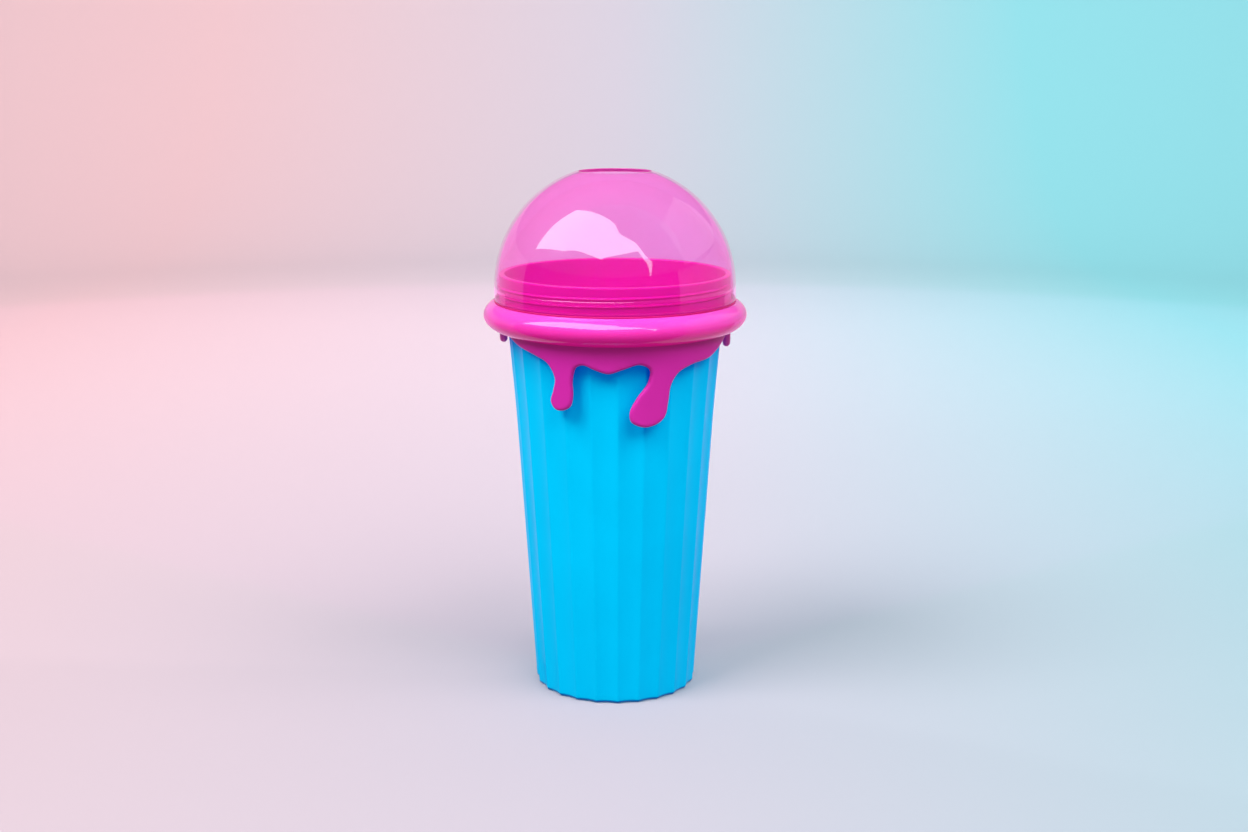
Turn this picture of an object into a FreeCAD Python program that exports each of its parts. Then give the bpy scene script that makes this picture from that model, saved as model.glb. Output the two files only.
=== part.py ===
import FreeCAD, Part
import math
import os
import re
import Sketcher
from BOPTools import SplitAPI
from FreeCAD import Placement, Rotation, Vector

# A squeeze-to-freeze drink cup: a fluted soft sleeve, a double-walled freezing liner that hangs in it,
# a threaded collar with a roll and a dripping skirt, and a dome lid that screws onto the collar.
# Millimetres. The origin is the centre of the base, +Z is up and -Y is the front.

DIMENSIONS = [
    ("total_height", 230, "table to the rim of the straw hole"),
    # sleeve
    ("sleeve_top", 161.5, "height of the sleeve's lip"),
    ("sleeve_bend", 125, "height where the taper grows"),
    ("ridge_base", 35.9, "ridge radius at the table"),
    ("ridge_bend", 43.85, "ridge radius at sleeve_bend"),
    ("ridge_top", 47, "ridge radius at the lip"),
    ("sleeve_wall", 3.3, "ridge to bore"),
    ("sleeve_floor", 4.5, "height of the inside floor"),
    ("base_recess", 1.5, "depth of the hollow under the base"),
    ("foot_width", 5, "width of the ring that the cup stands on"),
    ("flute_count", 24, "flutes round the sleeve"),
    ("flute_depth", 1.1, "ridge to valley"),
    ("flute_phase", 9.3, "angle of the first valley from +X"),
    # freezing liner
    ("liner_gap", 0.4, "clearance between liner and sleeve"),
    ("liner_lift", 0.6, "clearance under the liner"),
    ("outer_skin", 1.5, "outer wall of the liner"),
    ("gel_jacket", 6, "thickness of the gel"),
    ("inner_skin", 1.8, "wall of the well"),
    ("liner_seam", 156, "height where both walls meet the rim ring"),
    ("rim_thickness", 2, "flange of the rim ring above the sleeve's lip"),
    ("rim_inset", 0.5, "flange edge inside the ridge radius"),
    ("plug_circle", 38, "radius of the circle that the plugs stand on"),
    ("plug_stem", 2.4, "stem radius of a plug"),
    ("plug_head", 3.4, "head radius of a plug"),
    ("plug_head_height", 1.2, "head height of a plug"),
    ("plug_gap", 0.1, "clearance round a plug"),
    ("gasket_inner", 40.5, "inner radius of the rim gasket"),
    ("gasket_outer", 45.5, "outer radius of the rim gasket"),
    ("gasket_thickness", 1.5, "thickness of the rim gasket"),
    # collar
    ("neck_top", 186, "height of the neck's rim"),
    ("neck_radius", 50.6, "outside of the neck"),
    ("neck_bore", 48.1, "inside of the neck"),
    ("shoulder_radius", 50.8, "seat of the roll on the neck ring"),
    ("roll_gap", 0.05, "clearance between the roll and its seat"),
    ("throat_radius", 34, "hole from the neck into the well"),
    ("throat_lip", 2, "thickness of the neck ring's floor"),
    ("roll_radius", 47.5, "radius of the centre of the roll's section"),
    ("roll_height", 168, "height of the centre of the roll's section"),
    ("roll_half_width", 10.15, "half width of the roll's oval section"),
    ("roll_half_height", 7, "half height of the roll's oval section"),
    ("roll_wall", 2, "wall of the hollow roll"),
    ("seat_height", 173.7, "ledge that the dome's seal lies on"),
    ("skirt_top_radius", 50.8, "outside of the skirt under the roll"),
    ("skirt_bend", 150, "height where the skirt starts to taper in"),
    ("skirt_bend_radius", 50.4, "outside of the skirt at skirt_bend"),
    ("skirt_low", 125, "a height below every drip"),
    ("skirt_low_radius", 49.9, "outside of the skirt at skirt_low"),
    ("skirt_bore", 47.35, "inside of the skirt, wide enough to pass the sleeve's lip"),
    ("hem_height", 161, "height of the hem between drips, under the roll"),
    ("longest_drip", 34, "hem to the tip of the longest drip"),
    # dome lid
    ("seal_height", 0.7, "thickness of the dome's seal"),
    ("dome_radius", 52.7, "outside of the dome"),
    ("dome_wall", 1.2, "thickness of the dome"),
    ("dome_centre", 179.7, "height of the centre of the dome's sphere"),
    ("seal_proud", 0.15, "seal standing out past the dome"),
    # thread
    ("thread_pitch", 3.2, "rise in one turn"),
    ("thread_depth", 0.65, "height of a thread rib"),
    ("thread_root", 1.4, "width of a rib at its root"),
    ("thread_crest", 0.8, "width of a rib at its crest"),
    ("thread_bed", 0.4, "depth that a rib is rooted in its wall"),
    ("neck_thread_start", 175.8, "height where the neck's rib starts"),
    ("neck_thread_turns", 2, "turns on the neck"),
    ("dome_thread_turns", 1.5, "turns in the dome"),
]

doc = FreeCAD.newDocument("SlushCup")
sheet = doc.addObject("Spreadsheet::Sheet", "Dimensions")
for row, (alias, size, note) in enumerate(DIMENSIONS, start=1):
    sheet.set("A%d" % row, alias)
    sheet.set("B%d" % row, str(size))
    sheet.set("C%d" % row, note)
    sheet.setAlias("B%d" % row, alias)
doc.recompute()

ALIASES = re.compile(r"\b(%s)\b" % "|".join(alias for alias, size, note in DIMENSIONS))

# Heights and radii that follow from the driving dimensions.
LINER_BOTTOM = "(sleeve_floor + liner_lift)"
GEL_BOTTOM = "(%s + outer_skin)" % LINER_BOTTOM
GEL_TOP = "(%s + gel_jacket)" % GEL_BOTTOM
WELL_FLOOR = "(%s + inner_skin)" % GEL_TOP
RIM_TOP = "(sleeve_top + rim_thickness)"
NECK_UNDERSIDE = "(%s + gasket_thickness)" % RIM_TOP
DOME_FOOT = "(seat_height + seal_height)"
DOME_BORE = "(dome_radius - dome_wall)"
STRAW_HOLE = "sqrt(pow(dome_radius; 2) - pow(total_height - dome_centre; 2))"
DOME_THREAD_START = "(neck_thread_start + thread_pitch / 2)"


def bound(expression):
    """The expression with each dimension's name pointing at the sheet."""
    return ALIASES.sub(r"Dimensions.\1", expression)


def size_of(expression):
    """The expression's value now."""
    return float(sheet.evalExpression(expression))


def ridge_at(height):
    """Expression for the sleeve's ridge radius at a height, on the lower or the upper cone."""
    if size_of(height) <= size_of("sleeve_bend"):
        return "(ridge_base + (ridge_bend - ridge_base) * %s / sleeve_bend)" % height
    rise = "(%s - sleeve_bend) / (sleeve_top - sleeve_bend)" % height
    return "(ridge_bend + (ridge_top - ridge_bend) * %s)" % rise


def wall_radius(layers, height):
    """Expression for the radius inside the given layers of wall, counted in from the ridges."""
    return "(%s - %s)" % (ridge_at(height), " - ".join(layers))


SLEEVE_BORE = ["sleeve_wall"]
LINER_OUTSIDE = SLEEVE_BORE + ["liner_gap"]
GEL_OUTSIDE = LINER_OUTSIDE + ["outer_skin"]
GEL_INSIDE = GEL_OUTSIDE + ["gel_jacket"]
WELL = GEL_INSIDE + ["inner_skin"]


def new_body(label):
    body = doc.addObject("PartDesign::Body", label)
    body.Label = label
    return body


def sketch_on(body, role, name):
    """A sketch attached to one of the body's own origin planes."""
    sketch = body.newObject("Sketcher::SketchObject", name)
    plane = next(item for item in body.Origin.OriginFeatures if item.Role == role)
    sketch.AttachmentSupport = [(plane, "")]
    sketch.MapMode = "FlatFace"
    return sketch


def fix_point(sketch, geometry, end, across, up):
    """Hold one end of a line or curve at two expressions measured from the sketch's origin."""
    for kind, axis, expression in (("DistanceX", -2, across), ("DistanceY", -1, up)):
        if size_of(expression) == 0:
            sketch.addConstraint(Sketcher.Constraint("PointOnObject", geometry, end, axis))
        else:
            constraint = Sketcher.Constraint(kind, -1, 1, geometry, end, size_of(expression))
            index = sketch.addConstraint(constraint)
            sketch.setExpression("Constraints[%d]" % index, bound(expression))


def draw_outline(sketch, corners):
    """Straight lines round a closed outline of (radius, height) expressions."""
    points = [Vector(size_of(across), size_of(up), 0) for across, up in corners]
    for start, end in zip(points, points[1:] + points[:1]):
        sketch.addGeometry(Part.LineSegment(start, end), False)
    for side in range(len(corners)):
        following = (side + 1) % len(corners)
        sketch.addConstraint(Sketcher.Constraint("Coincident", side, 2, following, 1))
    for side, (across, up) in enumerate(corners):
        fix_point(sketch, side, 1, across, up)


def turn_about_z(body, sketch):
    turned = body.newObject("PartDesign::Revolution", body.Label + "_turned")
    turned.Profile = sketch
    turned.ReferenceAxis = (sketch, ["V_Axis"])
    turned.Angle = 360
    return turned


def turned_body(label, corners):
    """A body of revolution about Z from a closed outline of (radius, height) expressions."""
    body = new_body(label)
    sketch = sketch_on(body, "XZ_Plane", label + "_outline")
    draw_outline(sketch, corners)
    turn_about_z(body, sketch)
    return body


def add_thread(body, wall, outward, start, turns):
    """A single right-hand helical rib on a wall's radius; outward is +1 on a neck and -1 in a bore."""
    root = "(%s - %d * thread_bed)" % (wall, outward)
    crest = "(%s + %d * thread_depth)" % (wall, outward)
    sketch = sketch_on(body, "XZ_Plane", body.Label + "_rib_section")
    draw_outline(sketch, [
        (root, "%s - thread_root / 2" % start),
        (crest, "%s - thread_crest / 2" % start),
        (crest, "%s + thread_crest / 2" % start),
        (root, "%s + thread_root / 2" % start),
    ])
    rib = body.newObject("PartDesign::AdditiveHelix", body.Label + "_rib")
    rib.Profile = sketch
    rib.ReferenceAxis = (sketch, ["V_Axis"])
    rib.Mode = "pitch-turns-angle"
    rib.setExpression("Pitch", bound("thread_pitch"))
    rib.setExpression("Turns", bound(turns))
    rib.LeftHanded = False
    body.Tip = rib


def outer_cup():
    """The soft sleeve: two cones with a hollow underside, fluted by a polar pattern of tapered cuts."""
    body = turned_body("outer_cup", [
        ("0", "base_recess"),
        ("(ridge_base - foot_width)", "base_recess"),
        ("(ridge_base - foot_width)", "0"),
        ("(ridge_base + flute_depth)", "0"),
        ("(ridge_bend + flute_depth)", "sleeve_bend"),
        ("(ridge_top + flute_depth)", "sleeve_top"),
        (wall_radius(SLEEVE_BORE, "sleeve_top"), "sleeve_top"),
        (wall_radius(SLEEVE_BORE, "sleeve_bend"), "sleeve_bend"),
        (wall_radius(SLEEVE_BORE, "sleeve_floor"), "sleeve_floor"),
        ("0", "sleeve_floor"),
    ])
    sections = []
    for height in ("(0 - base_recess)", "sleeve_bend", "(sleeve_top + base_recess)"):
        ridge = ridge_at(height)
        half_chord = "(%s * sin(180 / flute_count))" % ridge
        sagitta = "(flute_depth - %s * (1 - cos(180 / flute_count)))" % ridge
        radius = "((pow(%s; 2) + pow(%s; 2)) / (2 * %s))" % (half_chord, sagitta, sagitta)
        centre = "(%s - flute_depth + %s)" % (ridge, radius)
        sketch = sketch_on(body, "XY_Plane", "flute_section_%d" % len(sections))
        sketch.setExpression("AttachmentOffset.Base.z", bound(height))
        sketch.setExpression("AttachmentOffset.Rotation.Angle", bound("flute_phase"))
        circle = Part.Circle(Vector(size_of(centre), 0, 0), Vector(0, 0, 1), size_of(radius))
        sketch.addGeometry(circle, False)
        fix_point(sketch, 0, 3, centre, "0")
        index = sketch.addConstraint(Sketcher.Constraint("Radius", 0, size_of(radius)))
        sketch.setExpression("Constraints[%d]" % index, bound(radius))
        sections.append(sketch)
    flute = body.newObject("PartDesign::SubtractiveLoft", "flute")
    flute.Profile = sections[0]
    flute.Sections = sections[1:]
    flute.Ruled = True
    flutes = body.newObject("PartDesign::PolarPattern", "flutes")
    flutes.Originals = [flute]
    flutes.Axis = (next(item for item in body.Origin.OriginFeatures if item.Role == "Z_Axis"), [""])
    flutes.Angle = 360
    flutes.setExpression("Occurrences", bound("flute_count"))
    body.Tip = flutes
    return body


def cup_wall(label, outside, inside, bottom, floor):
    """One open cup of the liner between two sets of layers, up to the liner's seam."""
    return turned_body(label, [
        ("0", bottom),
        (wall_radius(outside, bottom), bottom),
        (wall_radius(outside, "sleeve_bend"), "sleeve_bend"),
        (wall_radius(outside, "liner_seam"), "liner_seam"),
        (wall_radius(inside, "liner_seam"), "liner_seam"),
        (wall_radius(inside, "sleeve_bend"), "sleeve_bend"),
        (wall_radius(inside, floor), floor),
        ("0", floor),
    ])


def liner_rim_ring():
    """The stiff rim: a band that closes the jacket, a flange on the sleeve's lip, and two plug holes."""
    body = turned_body("liner_rim_ring", [
        (wall_radius(WELL, "liner_seam"), "liner_seam"),
        (wall_radius(LINER_OUTSIDE, "liner_seam"), "liner_seam"),
        (wall_radius(LINER_OUTSIDE, "sleeve_top"), "sleeve_top"),
        ("(ridge_top - rim_inset)", "sleeve_top"),
        ("(ridge_top - rim_inset)", RIM_TOP),
        (wall_radius(WELL, "liner_seam"), RIM_TOP),
    ])
    doc.recompute()
    whole = body.Shape.Volume
    cuts = (("plug_head", "plug_head_height"), ("plug_stem", "(%s - liner_seam)" % RIM_TOP))
    for name, depth in cuts:
        sketch = sketch_on(body, "XY_Plane", name + "_holes")
        sketch.setExpression("AttachmentOffset.Base.z", bound(RIM_TOP))
        radius = "(%s + plug_gap)" % name
        for number, side in enumerate(("plug_circle", "(0 - plug_circle)")):
            circle = Part.Circle(Vector(0, size_of(side), 0), Vector(0, 0, 1), size_of(radius))
            sketch.addGeometry(circle, False)
            fix_point(sketch, number, 3, "0", side)
            index = sketch.addConstraint(Sketcher.Constraint("Radius", number, size_of(radius)))
            sketch.setExpression("Constraints[%d]" % index, bound(radius))
        holes = body.newObject("PartDesign::Pocket", name + "_pocket")
        holes.Profile = sketch
        holes.setExpression("Length", bound(depth))
        body.Tip = holes
        doc.recompute()
        assert body.Shape.Volume < whole, name + " holes cut nothing"
        whole = body.Shape.Volume
    return body


def gel_fill_plugs():
    """Two alike, one each side: a stem down to the gel and a head flush with the rim ring's top."""
    shapes = []
    stem_bottom = "(liner_seam + plug_gap)"
    head_bottom = "(%s - plug_head_height)" % RIM_TOP
    for side in ("plug_circle", "(0 - plug_circle)"):
        stem = ("plug_stem", stem_bottom, head_bottom)
        head = ("plug_head", head_bottom, RIM_TOP)
        for radius, low, high in (stem, head):
            cylinder = doc.addObject("Part::Cylinder", radius)
            cylinder.setExpression("Radius", bound(radius))
            cylinder.setExpression("Height", bound("(%s) - (%s)" % (high, low)))
            cylinder.setExpression("Placement.Base.y", bound(side))
            cylinder.setExpression("Placement.Base.z", bound(low))
            shapes.append(cylinder)
    plugs = doc.addObject("Part::MultiFuse", "gel_fill_plugs")
    plugs.Label = "gel_fill_plugs"
    plugs.Shapes = shapes
    plugs.Refine = True
    return plugs


def rim_gasket():
    return turned_body("rim_gasket", [
        ("gasket_inner", RIM_TOP),
        ("gasket_outer", RIM_TOP),
        ("gasket_outer", NECK_UNDERSIDE),
        ("gasket_inner", NECK_UNDERSIDE),
    ])


def neck_ring():
    """The rigid core of the collar: floor with a throat, shoulder for the roll, and a threaded neck."""
    floor = "(%s + throat_lip)" % NECK_UNDERSIDE
    body = turned_body("neck_ring", [
        ("throat_radius", NECK_UNDERSIDE),
        ("shoulder_radius", NECK_UNDERSIDE),
        ("shoulder_radius", "seat_height"),
        ("neck_radius", "seat_height"),
        ("neck_radius", "neck_top"),
        ("neck_bore", "neck_top"),
        ("neck_bore", "(%s + 2 * throat_lip)" % floor),
        ("(neck_bore - throat_lip)", "(%s + throat_lip / 2)" % floor),
        ("throat_radius", floor),
    ])
    add_thread(body, "neck_radius", 1, "neck_thread_start", "neck_thread_turns")
    return body


def oval_ring(name, inset):
    """A solid ring with an oval section, the roll's own section less an inset."""
    oval = doc.addObject("Part::Ellipse", name + "_section")
    oval.setExpression("MajorRadius", bound("roll_half_width - %s" % inset))
    oval.setExpression("MinorRadius", bound("roll_half_height - %s" % inset))
    oval.Placement = Placement(Vector(0, 0, 0), Rotation(Vector(1, 0, 0), 90))
    oval.setExpression("Placement.Base.x", bound("roll_radius"))
    oval.setExpression("Placement.Base.z", bound("roll_height"))
    ring = doc.addObject("Part::Revolution", name)
    ring.Source = oval
    ring.Axis = Vector(0, 0, 1)
    ring.Angle = 360
    ring.Solid = True
    return ring


def cylinder_between(name, radius, low, high):
    cylinder = doc.addObject("Part::Cylinder", name)
    cylinder.setExpression("Radius", bound(radius))
    cylinder.setExpression("Height", bound("(%s) - (%s)" % (high, low)))
    cylinder.setExpression("Placement.Base.z", bound(low))
    return cylinder


def cut(name, base, tool):
    result = doc.addObject("Part::Cut", name)
    result.Label = name
    result.Base = base
    result.Tool = tool
    return result


def collar_roll():
    """The hollow roll: an oval ring, open on its inner side, with a flat ledge for the dome's seal."""
    hollow = cut("roll_hollow", oval_ring("roll_outside", "0"), oval_ring("roll_inside", "roll_wall"))
    core = cylinder_between("roll_core", "shoulder_radius + roll_gap", "hem_height - longest_drip", "neck_top")
    band = cut("roll_band", hollow, core)
    above = cylinder_between("above_seat", "roll_radius + roll_half_width", "seat_height", "neck_top")
    return cut("collar_roll", band, above)


# The hem of the skirt from one side to the other, as (angle from the middle, drop): the drop is a
# fraction of the longest drip, 0 at the hem and 1 at that drip's tip. Angles grow to the right.
HEM = [
    (-66, 0.00), (-54, 0.09), (-42.5, 0.16), (-34.5, 0.24),
    (-30.5, 0.41), (-31.5, 0.56), (-33, 0.70), (-30.5, 0.80), (-26.5, 0.81), (-22.2, 0.75), (-20.8, 0.62),
    (-20.9, 0.42), (-19, 0.26), (-15.3, 0.226), (-9.7, 0.28), (-3, 0.325), (3.8, 0.275),
    (12.3, 0.218), (17.3, 0.285), (16.4, 0.44), (11.1, 0.62), (7.4, 0.80), (8, 0.92),
    (12, 0.985), (16.3, 1.00), (21.8, 0.96), (25.6, 0.87), (27.3, 0.68), (28.6, 0.49),
    (32.6, 0.35), (41.5, 0.265), (53.5, 0.225), (65, 0.10), (73, 0.00),
]
# The short drip on each side, in the same terms, about the middle of that side.
RIGHT_DRIP = [(-12, 0.00), (-4.5, 0.17), (0, 0.235), (4.5, 0.17), (12, 0.00)]
LEFT_DRIP = [(-12, 0.00), (-5, 0.13), (0, 0.175), (5, 0.13), (12, 0.00)]


def hem_curves(radius):
    """The hem carried round at one radius as four smooth curves: front, right side, back, left side."""
    low = size_of("longest_drip")
    high = size_of("hem_height")
    runs = []
    for middle, side_drip in ((-90, RIGHT_DRIP), (90, LEFT_DRIP)):
        for outline, turn in ((HEM, middle), (side_drip, middle + 90)):
            angles = [(math.radians(turn + angle), high - drop * low) for angle, drop in outline]
            runs.append([Vector(radius * math.cos(t), radius * math.sin(t), z) for t, z in angles])
    curves = []
    for run, following in zip(runs, runs[1:] + runs[:1]):
        curve = Part.BSplineCurve()
        curve.interpolate(run + following[:1])
        curves.append(curve.toShape())
    return curves


def drip_skirt():
    """The skirt: a tapered ring, trimmed along the hem by a ribbon that runs straight out from the axis."""
    bore = size_of("skirt_bore")
    outline = [
        (bore, size_of("skirt_low")),
        (size_of("skirt_low_radius"), size_of("skirt_low")),
        (size_of("skirt_bend_radius"), size_of("skirt_bend")),
        (size_of("skirt_top_radius"), size_of(NECK_UNDERSIDE)),
        (bore, size_of(NECK_UNDERSIDE)),
    ]
    wire = Part.makePolygon([Vector(radius, 0, height) for radius, height in outline + outline[:1]])
    ring = Part.Face(wire).revolve(Vector(0, 0, 0), Vector(0, 0, 1), 360)
    inside = hem_curves(0.8 * bore)
    outside = hem_curves(1.2 * bore)
    ribbon = Part.Shell([Part.makeRuledSurface(near, far) for near, far in zip(inside, outside)])
    pieces = SplitAPI.slice(ring, [ribbon], "Split").Solids
    skirt = doc.addObject("Part::Feature", "drip_skirt")
    skirt.Label = "drip_skirt"
    skirt.Shape = max(pieces, key=lambda piece: piece.BoundBox.ZMax)
    return skirt


def dome_seal():
    outside = "(dome_radius + seal_proud)"
    return turned_body("dome_seal", [
        (DOME_BORE, "seat_height"),
        (outside, "seat_height"),
        (outside, DOME_FOOT),
        (DOME_BORE, DOME_FOOT),
    ])


def dome_lid():
    """The dome: a straight foot, a spherical shell, a round hole through its crown and an inner thread."""
    body = new_body("dome_lid")
    sketch = sketch_on(body, "XZ_Plane", "dome_outline")
    centre = Vector(0, size_of("dome_centre"), 0)
    outer = size_of("dome_radius")
    inner = size_of(DOME_BORE)
    hole = size_of(STRAW_HOLE)
    foot = size_of(DOME_FOOT)
    outer_end = math.acos(hole / outer)
    inner_end = math.acos(hole / inner)
    outer_tip = centre + Vector(hole, outer * math.sin(outer_end), 0)
    inner_tip = centre + Vector(hole, inner * math.sin(inner_end), 0)
    axis = Vector(0, 0, 1)
    sketch.addGeometry(Part.ArcOfCircle(Part.Circle(centre, axis, outer), 0, outer_end), False)
    sketch.addGeometry(Part.LineSegment(outer_tip, inner_tip), False)
    sketch.addGeometry(Part.ArcOfCircle(Part.Circle(centre, axis, inner), 0, inner_end), False)
    sketch.addGeometry(Part.LineSegment(centre + Vector(inner, 0, 0), Vector(inner, foot, 0)), False)
    sketch.addGeometry(Part.LineSegment(Vector(inner, foot, 0), Vector(outer, foot, 0)), False)
    sketch.addGeometry(Part.LineSegment(Vector(outer, foot, 0), centre + Vector(outer, 0, 0)), False)
    for pair in ((0, 2, 1, 1), (1, 2, 2, 2), (2, 1, 3, 1), (3, 2, 4, 1), (4, 2, 5, 1), (5, 2, 0, 1)):
        sketch.addConstraint(Sketcher.Constraint("Coincident", *pair))
    sketch.addConstraint(Sketcher.Constraint("Coincident", 0, 3, 2, 3))
    fix_point(sketch, 0, 3, "0", "dome_centre")
    fix_point(sketch, 0, 1, "dome_radius", "dome_centre")
    fix_point(sketch, 2, 1, DOME_BORE, "dome_centre")
    fix_point(sketch, 3, 2, DOME_BORE, DOME_FOOT)
    fix_point(sketch, 4, 2, "dome_radius", DOME_FOOT)
    sketch.addConstraint(Sketcher.Constraint("Vertical", 1))
    index = sketch.addConstraint(Sketcher.Constraint("DistanceX", -1, 1, 1, 1, hole))
    sketch.setExpression("Constraints[%d]" % index, bound(STRAW_HOLE))
    turn_about_z(body, sketch)
    add_thread(body, DOME_BORE, -1, DOME_THREAD_START, "dome_thread_turns")
    return body


SUB_PARTS = [
    outer_cup(),
    cup_wall("liner_outer_wall", LINER_OUTSIDE, GEL_OUTSIDE, LINER_BOTTOM, GEL_BOTTOM),
    cup_wall("freezing_gel", GEL_OUTSIDE, GEL_INSIDE, GEL_BOTTOM, GEL_TOP),
    cup_wall("liner_inner_wall", GEL_INSIDE, WELL, GEL_TOP, WELL_FLOOR),
    liner_rim_ring(),
    gel_fill_plugs(),
    rim_gasket(),
    neck_ring(),
    collar_roll(),
    drip_skirt(),
    dome_seal(),
    dome_lid(),
]

doc.recompute()
for item in doc.Objects:
    faults = [word for word in item.State if word in ("Invalid", "Error")]
    assert not faults, "%s is %s" % (item.Label, faults)
for sub_part in SUB_PARTS:
    assert not sub_part.Shape.isNull(), sub_part.Label + " is empty"
    assert sub_part.Shape.isValid(), sub_part.Label + " is not valid"

os.makedirs("parts", exist_ok=True)
for sub_part in SUB_PARTS:
    print("%-18s solids %d  volume %9.1f mm3" % (
        sub_part.Label, len(sub_part.Shape.Solids), sub_part.Shape.Volume))
    sub_part.Shape.exportStep("parts/%s.step" % sub_part.Label)
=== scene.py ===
import math

import bmesh
import bpy
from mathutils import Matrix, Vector
from mathutils.geometry import delaunay_2d_cdt
from mathutils.kdtree import KDTree


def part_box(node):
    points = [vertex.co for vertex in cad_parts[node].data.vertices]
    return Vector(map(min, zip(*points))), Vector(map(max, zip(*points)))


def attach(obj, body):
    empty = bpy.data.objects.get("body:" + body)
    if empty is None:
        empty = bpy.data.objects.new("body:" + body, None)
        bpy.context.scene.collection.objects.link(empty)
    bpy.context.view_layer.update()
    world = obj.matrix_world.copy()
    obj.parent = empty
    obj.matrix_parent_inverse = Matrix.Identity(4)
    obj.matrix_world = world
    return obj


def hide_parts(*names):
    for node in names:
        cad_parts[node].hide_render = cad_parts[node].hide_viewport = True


# The looks of the slush cup: sleeve, skirt, roll, neck, seal and dome are rebuilt as smooth meshes round
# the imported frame, and every other sub-part keeps its CAD shape and gets a finished material.
# Metres, in the frame's own axes: +Z up, -Y the front.

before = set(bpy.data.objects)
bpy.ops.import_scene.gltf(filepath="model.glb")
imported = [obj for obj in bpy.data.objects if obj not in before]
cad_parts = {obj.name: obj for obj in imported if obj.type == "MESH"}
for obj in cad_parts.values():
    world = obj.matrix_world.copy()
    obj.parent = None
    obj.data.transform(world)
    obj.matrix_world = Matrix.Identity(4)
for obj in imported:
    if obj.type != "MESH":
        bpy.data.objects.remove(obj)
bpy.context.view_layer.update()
MM = 0.001
TURN = 2 * math.pi
FRONT = -math.pi / 2


# ---------------------------------------------------------------- sizes, from the frame where it has them

def cad_points(node):
    """(radius, height) of every vertex of a CAD node."""
    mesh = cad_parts[node].data
    return [(math.hypot(v.co.x, v.co.y), v.co.z) for v in mesh.vertices]


def radii_near(node, height, reach=0.4 * MM):
    """Least and greatest radius of a CAD node's vertices near a height."""
    radii = [radius for radius, z in cad_points(node) if abs(z - height) < reach]
    return min(radii), max(radii)


CUP_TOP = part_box("outer_cup")[1].z
CUP_BEND = 125 * MM
CUP_BEND_BLEND = 12 * MM
CUP_BASE_RIDGE = radii_near("outer_cup", 0)[1]
CUP_BEND_RIDGE = radii_near("outer_cup", CUP_BEND)[1]
CUP_TOP_RIDGE = radii_near("outer_cup", CUP_TOP)[1]
CUP_WALL = CUP_TOP_RIDGE - radii_near("outer_cup", CUP_TOP)[0]
CUP_FLOOR = 4.5 * MM
FOOT_INNER = radii_near("outer_cup", 0, 0.1 * MM)[0]
BASE_RECESS = 1.5 * MM
FLUTES = 24
FLUTE_DEPTH = 1.1 * MM
FLUTE_PHASE = math.radians(9.3)
RIDGE_ROUNDING = math.radians(0.75)
FOOT_ROUND = 1.5 * MM
LIP_ROUND = 0.8 * MM
FLOOR_ROUND = 3 * MM
CENTRE_GAP = 0.4 * MM

ROLL_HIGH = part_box("collar_roll")[1]
ROLL_CENTRE = Vector((47.5 * MM, 168 * MM))
ROLL_HALF_WIDTH = ROLL_HIGH.x - ROLL_CENTRE.x
ROLL_HALF_HEIGHT = 7 * MM
ROLL_SEAT = min(radius for radius, z in cad_points("collar_roll"))
SEAL_SEAT = ROLL_HIGH.z

NECK_LOW, NECK_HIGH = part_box("neck_ring")
NECK_BORE, NECK_OUTER = radii_near("neck_ring", NECK_HIGH.z)
THROAT, SHOULDER = radii_near("neck_ring", NECK_LOW.z)
THROAT_LIP = 2 * MM

SEAL_LOW, SEAL_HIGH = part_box("dome_seal")
SEAL_BORE, SEAL_OUTER = radii_near("dome_seal", SEAL_LOW.z)

DOME_LOW, DOME_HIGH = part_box("dome_lid")
DOME_BORE, DOME_OUTER = radii_near("dome_lid", DOME_LOW.z)
DOME_CENTRE = 179.7 * MM
STRAW_HOLE = radii_near("dome_lid", DOME_HIGH.z)[0]

THREAD_PITCH = 3.2 * MM
THREAD_DEPTH = 0.65 * MM
THREAD_ROOT = 1.4 * MM
THREAD_CREST = 0.6 * MM
NECK_THREAD_START = 175.8 * MM
NECK_THREAD_TURNS = 2
DOME_THREAD_TURNS = 1.5

SKIRT_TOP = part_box("drip_skirt")[1].z
SKIRT_BORE, SKIRT_TOP_RADIUS = radii_near("drip_skirt", SKIRT_TOP)
SKIRT_BEND = 150 * MM
SKIRT_BEND_RADIUS = 50.4 * MM
SKIRT_LOW = 125 * MM
SKIRT_LOW_RADIUS = 49.9 * MM
HEM_HEIGHT = 161 * MM
LONGEST_DRIP = 34 * MM
SKIRT_ROUNDING = 1.5 * MM

# The hem from one side to the other as (degrees from the middle, drop as a share of the longest drip).
HEM = [
    (-66, 0.00), (-54, 0.09), (-42.5, 0.16), (-34.5, 0.24),
    (-30.5, 0.41), (-31.5, 0.56), (-33, 0.70), (-30.5, 0.80), (-26.5, 0.81), (-22.2, 0.75), (-20.8, 0.62),
    (-20.9, 0.42), (-19, 0.26), (-15.3, 0.226), (-9.7, 0.28), (-3, 0.325), (3.8, 0.275),
    (12.3, 0.218), (17.3, 0.285), (16.4, 0.44), (11.1, 0.62), (7.4, 0.80), (8, 0.92),
    (12, 0.985), (16.3, 1.00), (21.8, 0.96), (25.6, 0.87), (27.3, 0.68), (28.6, 0.49),
    (32.6, 0.35), (41.5, 0.265), (53.5, 0.225), (65, 0.10), (73, 0.00),
]
# The single drip at each side, in the same terms but from its own middle.
RIGHT_DRIP = [(-12, 0.00), (-4.5, 0.17), (0, 0.235), (4.5, 0.17), (12, 0.00)]
LEFT_DRIP = [(-12, 0.00), (-5, 0.13), (0, 0.175), (5, 0.13), (12, 0.00)]


# ---------------------------------------------------------------- mesh helpers

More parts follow.
